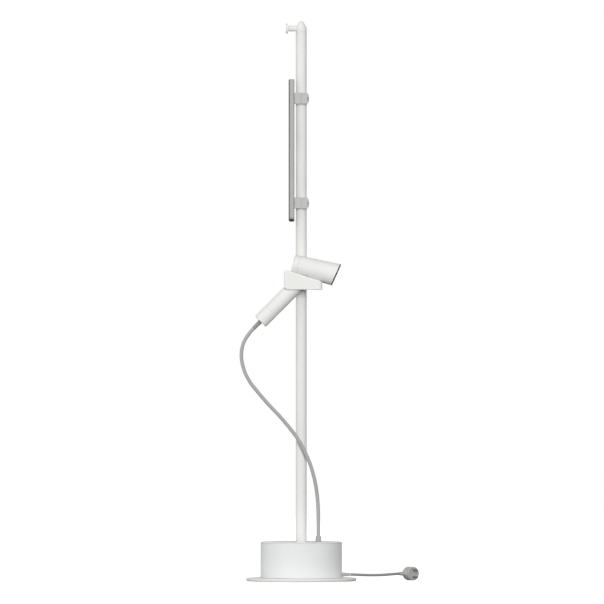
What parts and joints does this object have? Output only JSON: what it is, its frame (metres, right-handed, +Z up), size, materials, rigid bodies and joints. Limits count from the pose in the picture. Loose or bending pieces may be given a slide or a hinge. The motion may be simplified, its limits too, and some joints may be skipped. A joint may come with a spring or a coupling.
{
  "type": "customer pole display",
  "caption": "Floor-standing pole on a round weighted drum base, with a clamped flat display near the top and a corded handset resting in a cradle.",
  "frame": {"origin": "centre of the round base at floor level", "axes": "+Z up along the pole; the display faces -X; the handset and its cradle are on the -Y side of the pole; the mains lead leaves towards +X"},
  "size_m": [0.4888, 0.3, 1.525],
  "materials": {
    "stand_white": "satin powder coat",
    "drum_white": "satin powder coat",
    "handset_white": "fine satin moulding",
    "cradle_white": "fine matte moulding",
    "clamp_grey": "fine matte moulding",
    "panel_grey": "anodised satin",
    "dark_glass": "smoked, polished",
    "black_plastic": "matte",
    "cord_grey": "matte jacket",
    "dark_rubber": "matte",
    "foot_rubber": "matte",
    "bright_steel": "zinc plated",
    "cast_ballast": "as cast",
    "circuit_green": "solder mask"
  },
  "bodies": {
    "stand": {"foot_ring": "foot_rubber", "base_plate": "stand_white", "ballast_disc": "cast_ballast", "centre_bolt": "bright_steel", "drum_shell": "drum_white", "drum_lid": "drum_white", "pole_socket": "bright_steel", "power_supply": "black_plastic", "board_bracket": "bright_steel", "controller_board": "circuit_green", "mains_gland": "cord_grey", "cord_ferrule": "cord_grey", "pole_tube": "stand_white", "pole_head": "stand_white", "peg_bar": "stand_white", "peg_disc": "stand_white", "peg_screw": "bright_steel", "cradle_body": "cradle_white", "cradle_strap": "cradle_white", "cradle_pad": "dark_rubber", "cradle_screw_a": "bright_steel", "cradle_screw_b": "bright_steel", "handset_cord": "cord_grey", "mains_lead": "cord_grey", "plug_body": "cord_grey", "plug_pin_low": "bright_steel", "plug_pin_high": "bright_steel"},
    "display_slide": {"upper_liner": "dark_rubber", "lower_liner": "dark_rubber"},
    "display": {"display_glass": "dark_glass", "display_housing": "panel_grey", "display_rear_plate": "panel_grey", "display_bottom_strip": "black_plastic", "display_lcd": "black_plastic", "display_board": "circuit_green", "upper_clamp_block": "clamp_grey", "upper_clamp_strap": "clamp_grey", "lower_clamp_block": "clamp_grey", "lower_clamp_strap": "clamp_grey", "upper_clamp_screw_a": "bright_steel", "upper_clamp_screw_b": "bright_steel", "lower_clamp_screw_a": "bright_steel", "lower_clamp_screw_b": "bright_steel", "upper_bracket_screw": "bright_steel", "lower_bracket_screw": "bright_steel"},
    "power_button": {"power_button": "panel_grey"},
    "upper_knob": {"upper_knob": "clamp_grey"},
    "lower_knob": {"lower_knob": "clamp_grey"},
    "handset": {"handset_barrel": "handset_white", "handset_rear_cap": "handset_white", "window_ring": "black_plastic", "scan_window": "dark_glass", "scan_engine": "black_plastic", "handset_handle": "handset_white", "handle_end_cap": "handset_white", "handset_strain_relief": "cord_grey", "handset_board": "circuit_green"},
    "trigger": {"trigger": "panel_grey"}
  },
  "joints": [
    {"name": "display_height", "type": "slide", "parent": "stand", "child": "display_slide", "axis": [0, 0, 1], "range_m": [-0.03, 0.09]},
    {"name": "display_turn", "type": "hinge", "parent": "display_slide", "child": "display", "pos_m": [0, 0, 1.173], "axis": [0, 0, 1], "range_deg": [-90, 90]},
    {"name": "upper_knob_turn", "type": "hinge", "parent": "display", "child": "upper_knob", "pos_m": [0.0175, 0, 1.3148], "axis": [1, 0, 0], "range_deg": [0, 270]},
    {"name": "lower_knob_turn", "type": "hinge", "parent": "display", "child": "lower_knob", "pos_m": [0.0175, 0, 1.0295], "axis": [1, 0, 0], "range_deg": [0, 270]},
    {"name": "power_button_press", "type": "slide", "parent": "display", "child": "power_button", "axis": [0, 0, 1], "range_m": [0, 0.0007], "stiffness_N_per_m": 300},
    {"name": "handset_lift", "type": "slide", "parent": "stand", "child": "handset", "axis": [0.7071, 0, 0.7071], "range_m": [0, 0.18], "deforming": ["handset_cord"]},
    {"name": "trigger_press", "type": "slide", "parent": "handset", "child": "trigger", "axis": [-0.7071, 0, 0.7071], "range_m": [0, 0.0025], "stiffness_N_per_m": 400}
  ]
}
